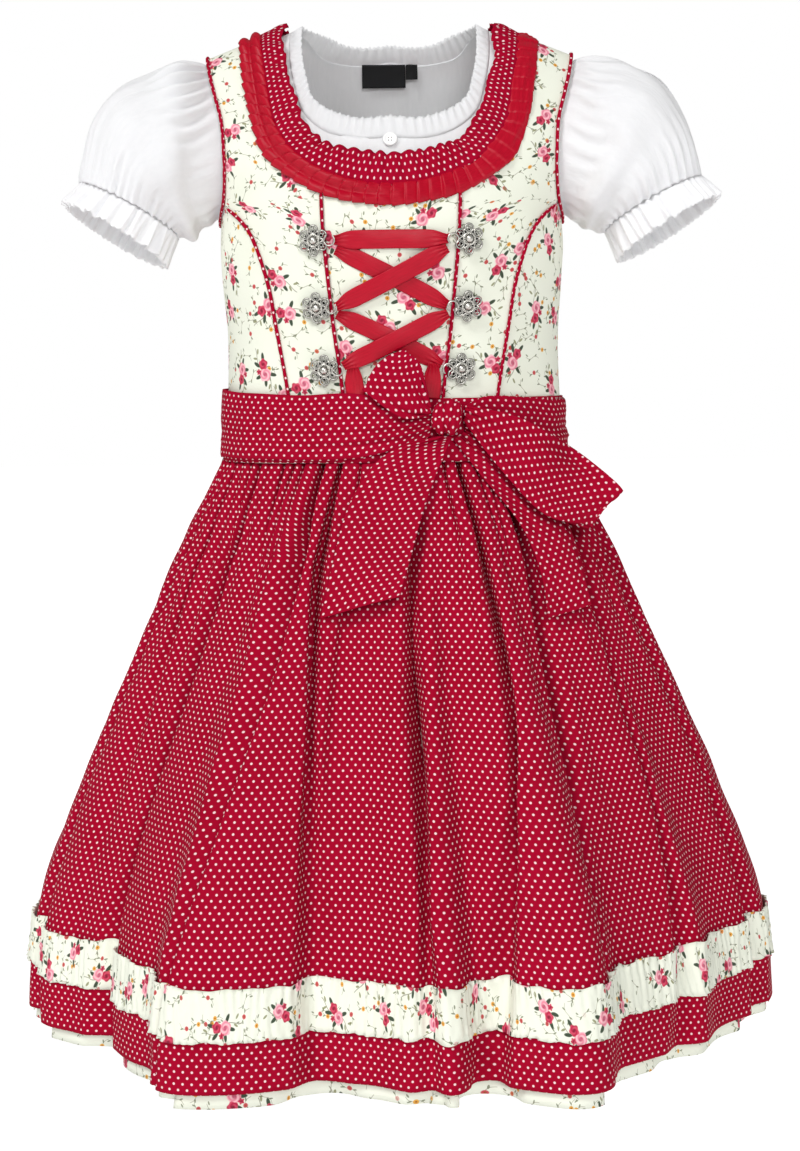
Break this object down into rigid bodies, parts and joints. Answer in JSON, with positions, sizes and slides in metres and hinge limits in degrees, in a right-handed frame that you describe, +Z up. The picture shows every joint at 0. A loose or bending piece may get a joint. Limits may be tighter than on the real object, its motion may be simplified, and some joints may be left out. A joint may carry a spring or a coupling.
{
  "type": "child's dirndl set of dress, blouse and apron",
  "caption": "Hollow worn form of a folk dress with a laced bodice and flared skirt, a puff-sleeved blouse under it and a dotted apron tied in a bow over it.",
  "frame": {"origin": "midway between the shoulder tips, at the height where the shoulders carry the set", "axes": "+Z up from hem to neck, the front faces -Y, and +X is to the viewer's right when looking at the front"},
  "size_m": [0.542, 0.475, 0.7075],
  "materials": {
    "floral_cotton": "cream cotton with a small printed floral",
    "dotted_cotton": "dark red cotton with small white dots",
    "red_satin": "red satin",
    "white_cotton": "white cotton",
    "white_plastic": "pearly white",
    "black_tape": "plain black woven tape",
    "antique_silver": "darkened silver"
  },
  "bodies": {
    "root": {"bodice_plastron": "floral_cotton", "bodice_front_left": "floral_cotton", "bodice_front_right": "floral_cotton", "bodice_side_front_left": "floral_cotton", "bodice_side_front_right": "floral_cotton", "bodice_back_left": "floral_cotton", "bodice_back_right": "floral_cotton", "piping_lacing_left": "dotted_cotton", "piping_lacing_right": "dotted_cotton", "piping_princess_left": "dotted_cotton", "piping_princess_right": "dotted_cotton", "piping_armhole_left": "dotted_cotton", "piping_armhole_right": "dotted_cotton", "neck_ruffle_satin": "red_satin", "neck_ruffle_dotted": "dotted_cotton", "blouse_front": "white_cotton", "blouse_back": "white_cotton", "blouse_neck_frill": "white_cotton", "blouse_sleeve_left": "white_cotton", "blouse_sleeve_right": "white_cotton", "sleeve_frill_left": "white_cotton", "sleeve_frill_right": "white_cotton", "blouse_button": "white_plastic", "neck_label": "black_tape", "size_tab": "black_tape", "skirt_front": "floral_cotton", "skirt_back": "floral_cotton", "apron_panel": "dotted_cotton", "apron_trim": "floral_cotton", "apron_waistband": "dotted_cotton", "sash_left": "dotted_cotton", "sash_right": "dotted_cotton", "bow_knot": "dotted_cotton", "bow_loop_left": "dotted_cotton", "bow_loop_right": "dotted_cotton", "bow_tail_left": "dotted_cotton", "bow_tail_right": "dotted_cotton", "lace_top": "red_satin", "lace_upper_under": "red_satin", "lace_upper_over": "red_satin", "lace_lower_under": "red_satin", "lace_lower_over": "red_satin", "lace_tail_left": "red_satin", "lace_tail_right": "red_satin", "hook_top_left": "antique_silver", "hook_top_right": "antique_silver", "hook_middle_left": "antique_silver", "hook_middle_right": "antique_silver", "hook_low_left": "antique_silver", "hook_low_right": "antique_silver"}
  },
  "joints": []
}
